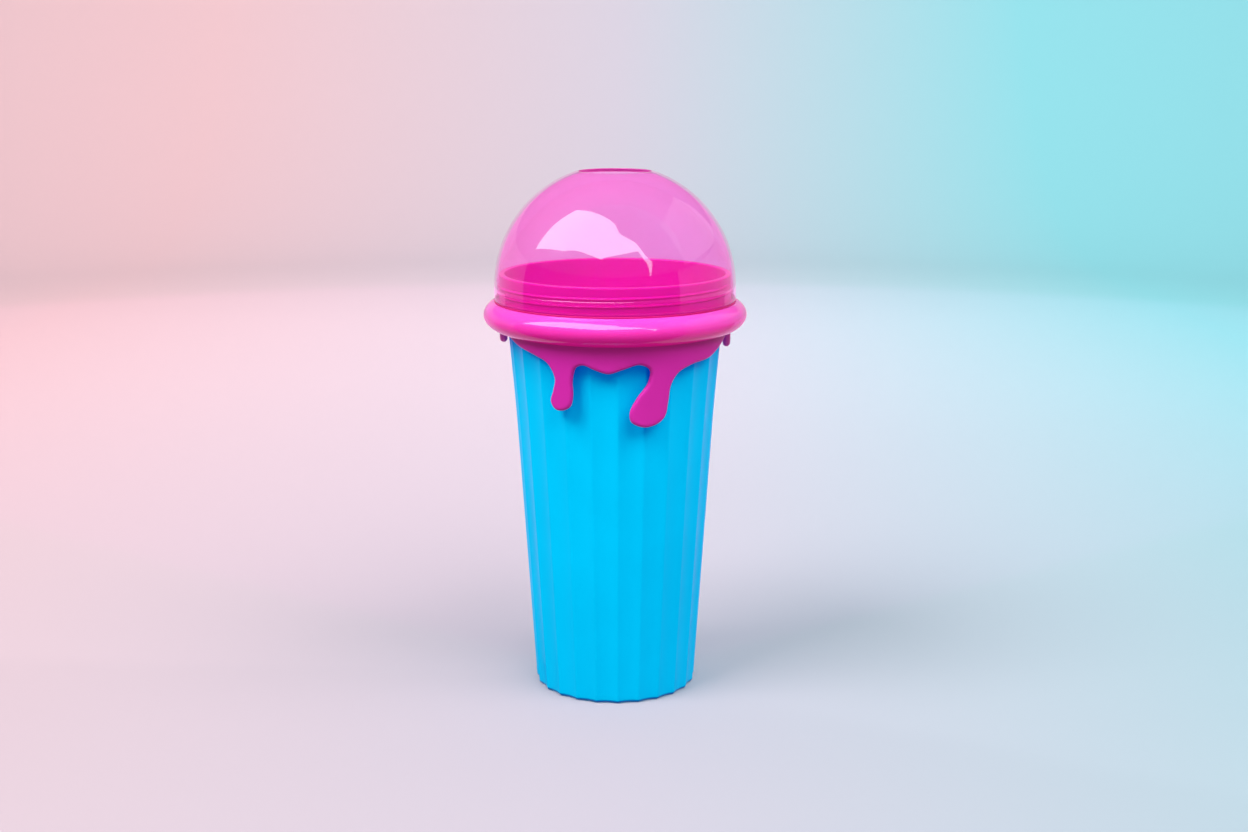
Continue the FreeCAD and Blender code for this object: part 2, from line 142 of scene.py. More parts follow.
def new_object(name, vertices, faces):
    mesh = bpy.data.meshes.new(name)
    mesh.from_pydata([tuple(v) for v in vertices], [], faces)
    mesh.validate()
    obj = bpy.data.objects.new(name, mesh)
    bpy.context.scene.collection.objects.link(obj)
    tidy_normals(obj)
    mesh.shade_smooth()
    return obj


def tidy_normals(obj):
    """Weld what coincides and turn every face outwards."""
    shape = bmesh.new()
    shape.from_mesh(obj.data)
    bmesh.ops.remove_doubles(shape, verts=shape.verts, dist=1e-7)
    bmesh.ops.recalc_face_normals(shape, faces=shape.faces)
    shape.to_mesh(obj.data)
    shape.free()


def arc(centre, radii, start, end, steps):
    """Points on an oval arc about (radius, height), angles in degrees."""
    angles = [math.radians(start + (end - start) * i / steps) for i in range(steps + 1)]
    return [(centre[0] + radii[0] * math.cos(a), centre[1] + radii[1] * math.sin(a)) for a in angles]


def rounded(corners, steps=6):
    """A closed outline whose corners, given as (radius, height, rounding), become arcs."""
    outline = []
    count = len(corners)
    most_of_side = 0.49
    for i, (x, y, size) in enumerate(corners):
        here = Vector((x, y))
        before = Vector(corners[i - 1][:2]) - here
        after = Vector(corners[(i + 1) % count][:2]) - here
        if size <= 0:
            outline.append((x, y))
            continue
        half = before.angle(after) / 2
        reach = min(size / math.tan(half), most_of_side * before.length, most_of_side * after.length)
        first = here + before.normalized() * reach
        last = here + after.normalized() * reach
        for k in range(steps + 1):
            t = k / steps
            point = first * (1 - t) ** 2 + here * 2 * t * (1 - t) + last * t ** 2
            outline.append((point.x, point.y))
    return outline


def divided(outline, longest):
    """The closed outline with its long straight sides divided, so that smooth shading stays even."""
    points = []
    for (x0, y0), (x1, y1) in zip(outline, outline[1:] + outline[:1]):
        pieces = max(1, math.ceil(math.hypot(x1 - x0, y1 - y0) / longest))
        points += [(x0 + (x1 - x0) * k / pieces, y0 + (y1 - y0) * k / pieces) for k in range(pieces)]
    return points


def lathe(name, outline, turns=288):
    """A ring turned about Z from a closed outline of (radius, height)."""
    vertices = []
    for k in range(turns):
        c, s = math.cos(TURN * k / turns), math.sin(TURN * k / turns)
        vertices += [(r * c, r * s, z) for r, z in outline]
    n = len(outline)
    faces = []
    for k in range(turns):
        a, b = k * n, (k + 1) % turns * n
        for i in range(n):
            j = (i + 1) % n
            faces.append((a + i, b + i, b + j, a + j))
    return new_object(name, vertices, faces)


def thread_rib(name, wall, outward, start, turns):
    """A helical rib rooted in a wall, tapering out to nothing at each end."""
    per_turn = 144
    steps = int(per_turn * turns)
    run_out = per_turn // 12
    bed = 0.35 * MM
    crest_drop = 0.12 * MM
    crest_flat, crest_edge = THREAD_CREST / 5, THREAD_CREST / 2
    vertices = []
    faces = []
    for k in range(steps + 1):
        angle = TURN * k / per_turn
        z = start + THREAD_PITCH * k / per_turn
        swell = min(1, k / run_out, (steps - k) / run_out)
        swell = swell * swell * (3 - 2 * swell)
        crest = wall + outward * (THREAD_DEPTH * swell - bed * (1 - swell))
        section = [
            (wall - outward * bed, z - THREAD_ROOT / 2),
            (wall, z - THREAD_ROOT / 2),
            (crest - outward * crest_drop, z - crest_edge),
            (crest, z - crest_flat),
            (crest, z + crest_flat),
            (crest - outward * crest_drop, z + crest_edge),
            (wall, z + THREAD_ROOT / 2),
            (wall - outward * bed, z + THREAD_ROOT / 2),
        ]
        vertices += [(r * math.cos(angle), r * math.sin(angle), h) for r, h in section]
    n = len(section)
    for k in range(steps):
        for i in range(n):
            j = (i + 1) % n
            faces.append((k * n + i, (k + 1) * n + i, (k + 1) * n + j, k * n + j))
    faces.append(tuple(range(n)))
    faces.append(tuple(steps * n + i for i in range(n)))
    return new_object(name, vertices, faces)


# ---------------------------------------------------------------- node materials

class Shader:
    """A material's node tree, with short calls for the nodes that these finishes share."""

    def __init__(self, name):
        self.material = bpy.data.materials.new(name)
        self.material.use_nodes = True
        self.nodes = self.material.node_tree.nodes
        self.links = self.material.node_tree.links
        self.principled = self.nodes["Principled BSDF"]
        self.output = self.nodes["Material Output"]
        self.place = self.nodes.new("ShaderNodeTexCoord").outputs["Object"]

    def set(self, **values):
        """Constants on the principled shader's sockets, named with _ for each space."""
        for name, value in values.items():
            self.principled.inputs[name.replace("_", " ")].default_value = value

    def feed(self, socket, output):
        self.links.new(output, self.principled.inputs[socket])

    def axis(self, name):
        """The object's own X, Y or Z."""
        axes = self.nodes.new("ShaderNodeSeparateXYZ")
        self.links.new(self.place, axes.inputs["Vector"])
        return axes.outputs[name]

    def stretched(self, scale):
        mapping = self.nodes.new("ShaderNodeMapping")
        mapping.inputs["Scale"].default_value = scale
        self.links.new(self.place, mapping.inputs["Vector"])
        return mapping.outputs["Vector"]

    def noise(self, scale, detail=3.0, roughness=0.5, vector=None):
        node = self.nodes.new("ShaderNodeTexNoise")
        node.inputs["Scale"].default_value = scale
        node.inputs["Detail"].default_value = detail
        node.inputs["Roughness"].default_value = roughness
        self.links.new(vector or self.place, node.inputs["Vector"])
        return node.outputs["Fac"]

    def ramp(self, factor, low, high, start=0.3, end=0.7, middle=None):
        """A blend of two colours, by way of a middle one if it is given, over part of a factor's range."""
        node = self.nodes.new("ShaderNodeValToRGB")
        node.color_ramp.elements[0].position = start
        node.color_ramp.elements[1].position = end
        node.color_ramp.elements[0].color = (*low, 1)
        node.color_ramp.elements[1].color = (*high, 1)
        if middle:
            node.color_ramp.elements.new((start + end) / 2).color = (*middle, 1)
        self.links.new(factor, node.inputs["Fac"])
        return node.outputs["Color"]

    def spread(self, factor, low, high):
        """A factor mapped onto a range of values."""
        node = self.nodes.new("ShaderNodeMapRange")
        node.inputs["From Min"].default_value = 0.3
        node.inputs["From Max"].default_value = 0.7
        node.inputs["To Min"].default_value = low
        node.inputs["To Max"].default_value = high
        self.links.new(factor, node.inputs["Value"])
        return node.outputs["Result"]

    def bump(self, height, strength, distance):
        node = self.nodes.new("ShaderNodeBump")
        node.inputs["Strength"].default_value = strength
        node.inputs["Distance"].default_value = distance
        self.links.new(height, node.inputs["Height"])
        return node.outputs["Normal"]

    def math(self, operation, first, second):
        """An operation on two values, each a float or an output."""
        node = self.nodes.new("ShaderNodeMath")
        node.operation = operation
        for socket, value in zip(node.inputs, (first, second)):
            if isinstance(value, float):
                socket.default_value = value
            else:
                self.links.new(value, socket)
        return node.outputs["Value"]

    def length(self, first, second):
        """The length of a line with these two components."""
        squares = self.math("ADD", self.math("POWER", first, 2.0), self.math("POWER", second, 2.0))
        return self.math("SQRT", squares, 0.0)

    def ranged(self, value, low, high):
        """A value from 0 to 1 mapped onto low to high."""
        return self.math("ADD", self.math("MULTIPLY", value, float(high - low)), float(low))

    def between(self, value, start, end):
        """0 where the value is at start, 1 where it is at end."""
        node = self.nodes.new("ShaderNodeMapRange")
        node.inputs["From Min"].default_value = start
        node.inputs["From Max"].default_value = end
        self.links.new(value, node.inputs["Value"])
        return node.outputs["Result"]

    def mixed(self, share, first, second):
        """Two shaders mixed: the share is a float or an output."""
        node = self.nodes.new("ShaderNodeMixShader")
        if isinstance(share, float):
            node.inputs["Fac"].default_value = share
        else:
            self.links.new(share, node.inputs["Fac"])
        self.links.new(first, node.inputs[1])
        self.links.new(second, node.inputs[2])
        return node.outputs["Shader"]

    def deeper_by_dye_or_painted_shade(self, share, colour, deep):
        """A colour output that turns to a constant deeper one as the share goes from 0 to 1."""
        node = self.nodes.new("ShaderNodeMix")
        node.data_type = "RGBA"
        self.links.new(share, node.inputs["Factor"])
        self.links.new(colour, node.inputs["A"])
        node.inputs["B"].default_value = (*deep, 1)
        return node.outputs["Result"]

    def paint_base_shade(self, share, deep):
        """The same for the base colour that the shader has so far, used to paint shade into it."""
        body = self.principled.inputs["Base Color"].links[0].from_socket
        self.feed("Base Color", self.deeper_by_dye_or_painted_shade(share, body, deep))

    def paint_glow(self, colour, strength):
        """A painted glow: a faint emission that lifts the colour everywhere, in shade too, though the part is
        no lamp.
        """
        self.set(Emission_Color=(*colour, 1), Emission_Strength=strength)

    def scatter(self, weight):
        """Light that goes a little way into pink plastic, red the furthest."""
        self.set(Subsurface_Weight=weight, Subsurface_Scale=2 * MM, Subsurface_Radius=(1.0, 0.25, 0.5))


def soft_silicone(name, low, high, roughness, specular, glint=(1, 1, 1), grain=0.05):
    """Moulded silicone: a slightly uneven colour, a satin skin and a very fine matt grain."""
    s = Shader(name)
    s.set(Specular_IOR_Level=specular, Specular_Tint=(*glint, 1), Coat_Weight=0.0)
    s.feed("Base Color", s.ramp(s.noise(28, 4), low, high))
    s.feed("Roughness", s.spread(s.noise(90, 3), roughness - 0.04, roughness + 0.04))
    s.feed("Normal", s.bump(s.noise(2600, 2), grain, 0.02 * MM))
    return s


def moulded_plastic(name, low, high, roughness, specular=0.5, glint=(1, 1, 1)):
    """Injection-moulded gloss plastic: faint flow in the colour and a barely uneven polish."""
    s = Shader(name)
    s.set(Specular_IOR_Level=specular, Specular_Tint=(*glint, 1), Coat_Weight=0.0)
    s.feed("Base Color", s.ramp(s.noise(22, 3, vector=s.stretched((1, 1, 3))), low, high))
    s.feed("Roughness", s.spread(s.noise(130, 2), roughness - 0.025, roughness + 0.025))
    s.feed("Normal", s.bump(s.noise(160, 2), 0.04, 0.05 * MM))
    return s


def sleeve_material():
    """Soft blue silicone with a painted blue glow, and painted shade where the foot rounds under."""
    s = soft_silicone(
        "sleeve_silicone", low=(0.0, 0.445, 0.55), high=(0.0, 0.475, 0.59),
        roughness=0.38, specular=0.05, glint=(0.0, 0.6, 1.0),
    )
    # painted shade: the base colour turns dark in the lowest millimetres, as contact shade at the foot
    s.paint_base_shade(s.between(s.axis("Z"), 1.6 * MM, 0.5 * MM), (0.0, 0.07, 0.05))
    # painted glow: blue emission that keeps the shaded sides blue
    s.paint_glow((0.0, 0.0, 1.0), 0.26)
    return s


def skirt_material():
    """Soft magenta silicone with a brighter bloom along its rounded edges."""
    s = soft_silicone(
        "skirt_silicone", low=(0.395, 0.014, 0.255), high=(0.44, 0.017, 0.28),
        roughness=0.36, specular=0.25, glint=(1.0, 0.45, 0.9),
    )
    # painted glow: faint magenta emission that lifts the skirt's shaded parts
    s.paint_glow((1.0, 0.03, 0.32), 0.075)
    s.set(Sheen_Weight=0.45, Sheen_Roughness=0.3, Sheen_Tint=(1.0, 0.10, 0.50, 1))
    return s


def roll_material():
    """Gloss plastic with painted shading: its colour turns deeper towards the underside."""
    s = moulded_plastic(
        "roll_gloss", low=(0.53, 0.036, 0.330), high=(0.57, 0.043, 0.362),
        roughness=0.05, specular=0.5, glint=(1.0, 0.85, 0.97),
    )
    # painted shading: the colour by height turns deeper towards the underside
    painted_under_shade = s.between(s.axis("Z"), ROLL_CENTRE.y + 2 * MM, ROLL_CENTRE.y - 5 * MM)
    s.paint_base_shade(painted_under_shade, (0.92, 0.008, 0.29))
    s.scatter(0.35)
    # painted glow: faint pink emission that lifts the roll's colour, in shade too
    s.paint_glow((1.0, 0.0, 0.5), 0.07)
    return s


def neck_material():
    s = moulded_plastic(
        "neck_gloss", low=(0.44, 0.001, 0.225), high=(0.48, 0.002, 0.255),
        roughness=0.14, specular=0.3,
    )
    s.scatter(0.6)
    # painted glow: pink emission that lifts the thread's shaded undersides
    s.paint_glow((1.0, 0.0, 0.33), 0.12)
    return s


def seal_material():
    return soft_silicone(
        "seal_silicone", low=(0.43, 0.003, 0.12), high=(0.47, 0.004, 0.14),
        roughness=0.45, specular=0.3, glint=(1.0, 0.5, 0.8),
    )


def liner_material():
    """Milky film with faint clouds, as a filled pouch shows."""
    s = soft_silicone(
        "liner_film", low=(0.36, 0.50, 0.62), high=(0.47, 0.57, 0.65),
        roughness=0.32, specular=0.5, grain=0.08,
    )
    s.set(Coat_Weight=0.15, Coat_Roughness=0.2)
    return s


def gel_material():
    return moulded_plastic("freezing_gel", low=(0.25, 0.58, 0.86), high=(0.50, 0.78, 0.95), roughness=0.2)


def rim_material():
    return moulded_plastic("rim_plastic", low=(0.80, 0.83, 0.87), high=(0.86, 0.88, 0.91), roughness=0.24)


def plug_material():
    return soft_silicone(
        "plug_rubber", low=(0.05, 0.16, 0.50), high=(0.07, 0.20, 0.56),
        roughness=0.5, specular=0.35, grain=0.12,
    )


def dome_places(s):
    """Shares from 0 to 1 of the dome's outer surface, of its cut edge and foot, and of its near faces."""
    height = s.axis("Z")
    span = s.length(s.axis("X"), s.axis("Y"))
    above = s.math("MAXIMUM", s.math("SUBTRACT", height, DOME_CENTRE), 0.0)
    out = s.length(span, above)
    outside = s.between(out, DOME_OUTER - 0.7 * MM, DOME_OUTER - 0.4 * MM)
    near = s.math("SUBTRACT", 1.0, s.nodes.new("ShaderNodeNewGeometry").outputs["Backfacing"])
    by_hole = s.math("MULTIPLY", s.between(span, STRAW_HOLE + 2.2 * MM, STRAW_HOLE + 1.4 * MM), near)
    cut = s.math("MULTIPLY", by_hole, s.between(out, DOME_OUTER - 0.1 * MM, DOME_OUTER - 0.4 * MM))
    foot = s.between(height, DOME_LOW.z + 1.2 * MM, DOME_LOW.z + 0.3 * MM)
    return outside, s.math("MAXIMUM", cut, foot), near


def dome_body(s, outside, edge):
    """A tinted window with a little body colour, nearly solid along its edges, and a faint painted glow."""
    facing = s.nodes.new("ShaderNodeLayerWeight").outputs["Facing"]
    turned = s.math("MULTIPLY", s.between(facing, 0.3, 0.75), outside)
    window = s.nodes.new("ShaderNodeBsdfTransparent")
    tint = s.ramp(turned, (0.995, 0.835, 0.985), (0.998, 0.755, 0.965), 0.0, 1.0)
    s.links.new(tint, window.inputs["Color"])

    faint = s.ramp(s.noise(20, 3), (1.0, 0.03, 0.52), (1.0, 0.05, 0.60))
    dye = s.deeper_by_dye_or_painted_shade(edge, faint, (0.52, 0.006, 0.27))
    through = s.nodes.new("ShaderNodeBsdfTranslucent")
    back = s.nodes.new("ShaderNodeBsdfDiffuse")
    s.links.new(dye, through.inputs["Color"])
    s.links.new(dye, back.inputs["Color"])
    both = s.mixed(0.5, through.outputs["BSDF"], back.outputs["BSDF"])
    dyed = s.mixed(s.ranged(edge, 0.07, 0.92), window.outputs["BSDF"], both)

    # painted glow: a faint pink emission on every surface, though the dome is no lamp
    painted_glow = s.nodes.new("ShaderNodeEmission")
    painted_glow.inputs["Color"].default_value = (1.0, 0.04, 0.55, 1)
    painted_glow.inputs["Strength"].default_value = 0.030
    lit = s.nodes.new("ShaderNodeAddShader")
    s.links.new(dyed, lit.inputs[0])
    s.links.new(painted_glow.outputs["Emission"], lit.inputs[1])
    return lit.outputs["Shader"]


def dome_skin(s, near):
    """The share of gloss, strongest where the dome turns away, and the gloss itself, faintly rippled."""
    ripple = s.bump(s.noise(45, 2), 0.02, 0.1 * MM)
    skin = s.nodes.new("ShaderNodeBsdfGlossy")
    skin.inputs["Color"].default_value = (1, 1, 1, 1)
    s.links.new(s.spread(s.noise(60, 2), 0.02, 0.05), skin.inputs["Roughness"])
    s.links.new(ripple, skin.inputs["Normal"])
    fresnel = s.nodes.new("ShaderNodeFresnel")
    fresnel.inputs["IOR"].default_value = 1.5
    s.links.new(ripple, fresnel.inputs["Normal"])
    strongest = 0.6
    share = s.math("MINIMUM", s.math("MULTIPLY", fresnel.outputs["Fac"], near), strongest)
    return share, skin.outputs["BSDF"]


def dome_material():
    """Clear plastic dyed pink, with a faint painted glow, under a glossy skin.

    The dye shows deeper where the outside curves away, on the cut edge of the hole and at the foot.
    """
    s = Shader("dome_pink")
    s.nodes.remove(s.principled)
    outside, edge, near = dome_places(s)
    body = dome_body(s, outside, edge)
    share, skin = dome_skin(s, near)
    s.links.new(s.mixed(share, body, skin), s.output.inputs["Surface"])
    return s


def dress(obj, shader, body, slot, *replaced):
    """Finish a piece: its material, the body that carries it and the CAD nodes it stands for; its slot is not
    used.
    """
    obj.data.materials.clear()
    obj.data.materials.append(shader.material)
    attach(obj, body)
    if replaced:
        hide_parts(*replaced)


# ---------------------------------------------------------------- the sleeve

def ridge_radius(z):
    """The sleeve's ridge radius: two tapers that run into each other over a short blend."""
    lower = (CUP_BEND_RIDGE - CUP_BASE_RIDGE) / CUP_BEND
    upper = (CUP_TOP_RIDGE - CUP_BEND_RIDGE) / (CUP_TOP - CUP_BEND)
    t = min(1, max(0, (z - CUP_BEND + CUP_BEND_BLEND) / (2 * CUP_BEND_BLEND)))
    past_bend = max(0, z - CUP_BEND - CUP_BEND_BLEND)
    return CUP_BASE_RIDGE + lower * z + (upper - lower) * (CUP_BEND_BLEND * t * t + past_bend)


def flute_drop(ridge, across):
    """Depth below the ridge at an angle from a flute's valley; the ridges themselves are softly rounded."""
    half = math.pi / FLUTES
    chord = ridge * math.sin(half)
    sagitta = FLUTE_DEPTH - ridge * (1 - math.cos(half))
    radius = (chord ** 2 + sagitta ** 2) / (2 * sagitta)
    centre = ridge - FLUTE_DEPTH + radius

    def wall(angle):
        return centre * math.cos(angle) - math.sqrt(radius ** 2 - (centre * math.sin(angle)) ** 2)

    edge = half - RIDGE_ROUNDING
    angle = abs(across)
    if angle <= edge:
        return ridge - wall(angle)
    nudge = 1e-4
    slope = (wall(edge) - wall(edge - nudge)) / nudge
    past = angle - edge
    return ridge - (wall(edge) + slope * past - slope * past ** 2 / (2 * RIDGE_ROUNDING))


def flute_angles():
    """(angle, angle from the nearest valley) once round, closest together at the ridges."""
    per_flute = 20
    even, crowded = 0.6, 0.4
    crowding = 1.5
    angles = []
    for flute in range(FLUTES):
        for k in range(per_flute):
            t = 2 * k / per_flute - 1
            lean = math.copysign(1 - (1 - abs(t)) ** crowding, t)
            across = (even * t + crowded * lean) * math.pi / FLUTES
            angles.append((FLUTE_PHASE + flute * TURN / FLUTES + across, across))
    return angles


def quarter(steps):
    """(1 - sine, 1 - cosine) over a quarter turn, for rounded edges."""
    turns = [math.pi / 2 * k / steps for k in range(steps + 1)]
    return [(1 - math.sin(turn), 1 - math.cos(turn)) for turn in turns]


def sleeve_outside():
    """(height, inset) up the fluted outside, from its rounded foot to its rounded lip."""
    foot_steps, wall_steps, lip_steps = 8, 70, 6
    wall_height = CUP_TOP - FOOT_ROUND - LIP_ROUND
    outside = sorted((FOOT_ROUND * up, FOOT_ROUND * inset) for inset, up in quarter(foot_steps))
    outside += [(FOOT_ROUND + wall_height * k / wall_steps, 0) for k in range(1, wall_steps + 1)]
    outside += [(CUP_TOP - LIP_ROUND * down, LIP_ROUND * inset) for down, inset in quarter(lip_steps)[1:]]
    return outside


def sleeve_lining():
    """(radius, height) down the round inside and across the floor."""
    lip_steps, wall_steps, corner_steps, floor_steps = 5, 40, 6, 6
    lip = ridge_radius(CUP_TOP) - CUP_WALL
    lining = [(lip + LIP_ROUND * inset, CUP_TOP - LIP_ROUND * down) for inset, down in quarter(lip_steps)]
    for k in range(1, wall_steps + 1):
        z = CUP_TOP - LIP_ROUND - (CUP_TOP - LIP_ROUND - CUP_FLOOR - FLOOR_ROUND) * k / wall_steps
        lining.append((ridge_radius(z) - CUP_WALL, z))
    floor = ridge_radius(CUP_FLOOR) - CUP_WALL
    corner = (floor - FLOOR_ROUND, CUP_FLOOR + FLOOR_ROUND)
    lining += arc(corner, (FLOOR_ROUND, FLOOR_ROUND), 0, -90, corner_steps)[1:]
    lining += [(floor * (1 - k / floor_steps), CUP_FLOOR) for k in range(1, floor_steps)]
    lining.append((CENTRE_GAP, CUP_FLOOR))
    return lining


def sleeve_underside():
    """(radius, height) out across the shallow hollow underneath, to the foot."""
    steps = 6
    edge, chamfer = 0.3 * MM, 0.5 * MM
    painted_under_shade = [(CENTRE_GAP, BASE_RECESS)]
    painted_under_shade += [(FOOT_INNER * k / steps, BASE_RECESS) for k in range(1, steps)]
    painted_under_shade += [
        (FOOT_INNER - 2 * edge, BASE_RECESS),
        (FOOT_INNER, BASE_RECESS - chamfer),
        (FOOT_INNER, edge),
        (FOOT_INNER + edge, 0),
    ]
    return painted_under_shade


def build_cup():
    """The fluted sleeve: fluted outside, round inside, a rounded foot and a shallow hollow underneath."""
    angles = flute_angles()
    outside = sleeve_outside()
    lining = sleeve_lining()
    vertices = []
    for z, inset in outside:
        ridge = ridge_radius(z)
        for angle, across in angles:
            r = ridge - flute_drop(ridge, across) - inset
            vertices.append((r * math.cos(angle), r * math.sin(angle), z))
    for r, z in lining + sleeve_underside():
        vertices += [(r * math.cos(angle), r * math.sin(angle), z) for angle, across in angles]
    n = len(angles)
    count = len(vertices) // n
    floor_centre = len(outside) + len(lining) - 1
    faces = []
    for ring in range(count):
        following = (ring + 1) % count
        if ring == floor_centre:
            faces.append(tuple(ring * n + i for i in range(n)))
            faces.append(tuple(following * n + i for i in range(n)))
            continue
        for i in range(n):
            j = (i + 1) % n
            faces.append((ring * n + i, ring * n + j, following * n + j, following * n + i))
    return new_object("sleeve", vertices, faces)


# ---------------------------------------------------------------- the dripping skirt

def smooth_closed(points, steps):
    """A centripetal Catmull-Rom curve through a closed list of 2D points."""
    curve = []
    count = len(points)
    for i in range(count):
        p = [Vector(points[(i + k - 1) % count]) for k in range(4)]
        knots = [0.0]
        least_gap = 1e-6
        for a, b in zip(p, p[1:]):
            knots.append(knots[-1] + max(least_gap, (b - a).length ** 0.5))
        for k in range(steps):
            t = knots[1] + (knots[2] - knots[1]) * k / steps
            curve.append(catmull(p, knots, t))
    return curve


def catmull(p, knots, t):
    """The curve's point at t, between the second and the third of four points."""
    def between(a, b, ka, kb):
        return a * ((kb - t) / (kb - ka)) + b * ((t - ka) / (kb - ka))

    a1 = between(p[0], p[1], knots[0], knots[1])
    a2 = between(p[1], p[2], knots[1], knots[2])
    a3 = between(p[2], p[3], knots[2], knots[3])
    b1 = between(a1, a2, knots[0], knots[2])
    b2 = between(a2, a3, knots[1], knots[3])
    return between(b1, b2, knots[1], knots[2])


def hem_line():
    """The hem unrolled as (distance round the skirt, height), once round from just ahead of the left side."""
    girth = TURN * SKIRT_TOP_RADIUS
    steps = 12
    overlap = 3
    points = []
    for middle, side_drip in ((0, RIGHT_DRIP), (180, LEFT_DRIP)):
        for outline, turn in ((HEM, middle), (side_drip, middle + 90)):
            for angle, drop in outline:
                points.append((girth * (turn + angle) / 360, HEM_HEIGHT - drop * LONGEST_DRIP))
    before = [(x - girth, z) for x, z in points[-overlap:]]
    after = [(x + girth, z) for x, z in points[:overlap]]
    curve = smooth_closed(before + points + after, steps)
    first = overlap * steps
    return curve[first:first + steps * len(points)], girth


def skirt_outside(z):
    """The skirt's outer radius: two tapers that meet at its bend."""
    if z < SKIRT_BEND:
        t = (z - SKIRT_LOW) / (SKIRT_BEND - SKIRT_LOW)
        return SKIRT_LOW_RADIUS + (SKIRT_BEND_RADIUS - SKIRT_LOW_RADIUS) * t
    t = (z - SKIRT_BEND) / (SKIRT_TOP - SKIRT_BEND)
    return SKIRT_BEND_RADIUS + (SKIRT_TOP_RADIUS - SKIRT_BEND_RADIUS) * t


def hem_spans(hem, girth):
    """Each stretch of the hem, from point to point, once round."""
    return list(zip(hem, hem[1:] + [hem[0] + Vector((girth, 0))]))


def hem_tree(hem, girth):
    """A search tree of close points along the hem, for the distance from a point of the skirt to it."""
    per_span = 4
    fine = []
    for a, b in hem_spans(hem, girth):
        fine += [a.lerp(b, k / per_span) for k in range(per_span)]
    shifts = (-girth, 0, girth)
    tree = KDTree(len(fine) * len(shifts))
    for shift in shifts:
        for k, p in enumerate(fine):
            tree.insert((p.x + shift, p.y, 0), k)
    tree.balance()
    return tree


def hem_rows(hem, girth, tree):
    """Rows of points that follow the hem, close together where the edge rounds over."""
    start = hem[0].x
    from_ends, from_top = 0.3 * MM, 0.2 * MM
    keep_apart = 0.93
    rows = []
    for depth in (0.12, 0.35, 0.7, 1.1, 1.6, 2.3):
        offset = depth * MM
        for a, b in hem_spans(hem, girth):
            side = (b - a).normalized()
            point = (a + b) / 2 + Vector((-side.y, side.x)) * offset
            nearest = tree.find((point.x, point.y, 0))[2]
            clear_of_ends = start + from_ends < point.x < start + girth - from_ends
            if nearest > keep_apart * offset and clear_of_ends and point.y < SKIRT_TOP - from_top:
                rows.append(point)
    return rows


def skirt_grid(hem, girth, tree):
    """An even grid of points over the rest of the skirt."""
    step = 1.5 * MM
    from_top, from_hem = 0.4 * MM, 2.8 * MM
    lowest = 120 * MM
    grid = []
    for i in range(1, int(girth / step)):
        for j in range(int((SKIRT_TOP - lowest) / step)):
            point = Vector((hem[0].x + i * step, lowest + j * step + (i % 2) * step / 2))
            if point.y < SKIRT_TOP - from_top and tree.find((point.x, point.y, 0))[2] > from_hem:
                grid.append(point)
    return grid


def skirt_outline(hem, girth):
    """The unrolled skirt's outline: the hem, up one side, back along the top and down the other side."""
    start = hem[0].x
    side_steps, top_steps = 6, 360
    heights = [hem[0].y + (SKIRT_TOP - hem[0].y) * k / side_steps for k in range(side_steps + 1)]
    outline = [Vector((p.x, p.y)) for p in hem]
    outline += [Vector((start + girth, z)) for z in heights]
    outline += [Vector((start + girth * (1 - k / top_steps), SKIRT_TOP)) for k in range(1, top_steps)]
    outline += [Vector((start, z)) for z in reversed(heights[1:])]
    return outline


def build_skirt():
    """The skirt: meshed flat between its hem and its top edge, rounded at the hem, then wrapped."""
    hem, girth = hem_line()
    tree = hem_tree(hem, girth)
    outline = skirt_outline(hem, girth)
    edges = [(i, (i + 1) % len(outline)) for i in range(len(outline))]
    points = outline + hem_rows(hem, girth, tree) + skirt_grid(hem, girth, tree)
    keep_inside = 1
    weld = 1e-7
    flat, _, faces, _, _, _ = delaunay_2d_cdt(points, edges, [], keep_inside, weld)

    vertices = []
    half = len(flat)
    for outer in (True, False):
        for p in flat:
            depth = min(SKIRT_ROUNDING, tree.find((p.x, p.y, 0))[2])
            fall = SKIRT_ROUNDING - math.sqrt(max(0, SKIRT_ROUNDING ** 2 - (SKIRT_ROUNDING - depth) ** 2))
            thick = skirt_outside(p.y) - SKIRT_BORE
            share = fall / SKIRT_ROUNDING * thick / 2
            radius = skirt_outside(p.y) - share if outer else SKIRT_BORE + share
            angle = FRONT + p.x / girth * TURN
            vertices.append((radius * math.cos(angle), radius * math.sin(angle), p.y))
    shell = [tuple(face) for face in faces]
    shell += [tuple(half + i for i in reversed(face)) for face in faces]
    rim = [i for i, p in enumerate(flat) if abs(p.y - SKIRT_TOP) < weld]
    rim.sort(key=lambda i: flat[i].x)
    shell += [(a, b, half + b, half + a) for a, b in zip(rim, rim[1:])]
    return new_object("skirt", vertices, shell)


# ---------------------------------------------------------------- roll, neck, seal and dome

def build_roll():
    """The roll's oval bead, closed at its hidden inner side, with the flat ledge that the seal lies on."""
    bead_steps, ledge_steps, inner_steps = 72, 3, 8
    radii = (ROLL_HALF_WIDTH, ROLL_HALF_HEIGHT)
    low = -math.degrees(math.acos((ROLL_SEAT - ROLL_CENTRE.x) / ROLL_HALF_WIDTH))
    high = math.degrees(math.asin((SEAL_SEAT - ROLL_CENTRE.y) / ROLL_HALF_HEIGHT))
    bead = arc(ROLL_CENTRE, radii, low, high, bead_steps)
    ledge = bead[-1][0] - ROLL_SEAT
    inner_height = SEAL_SEAT - bead[0][1]
    outline = bead + [(bead[-1][0] - ledge * k / ledge_steps, SEAL_SEAT) for k in range(1, ledge_steps + 1)]
    outline += [(ROLL_SEAT, SEAL_SEAT - inner_height * k / inner_steps) for k in range(1, inner_steps)]
    return lathe("roll", outline)


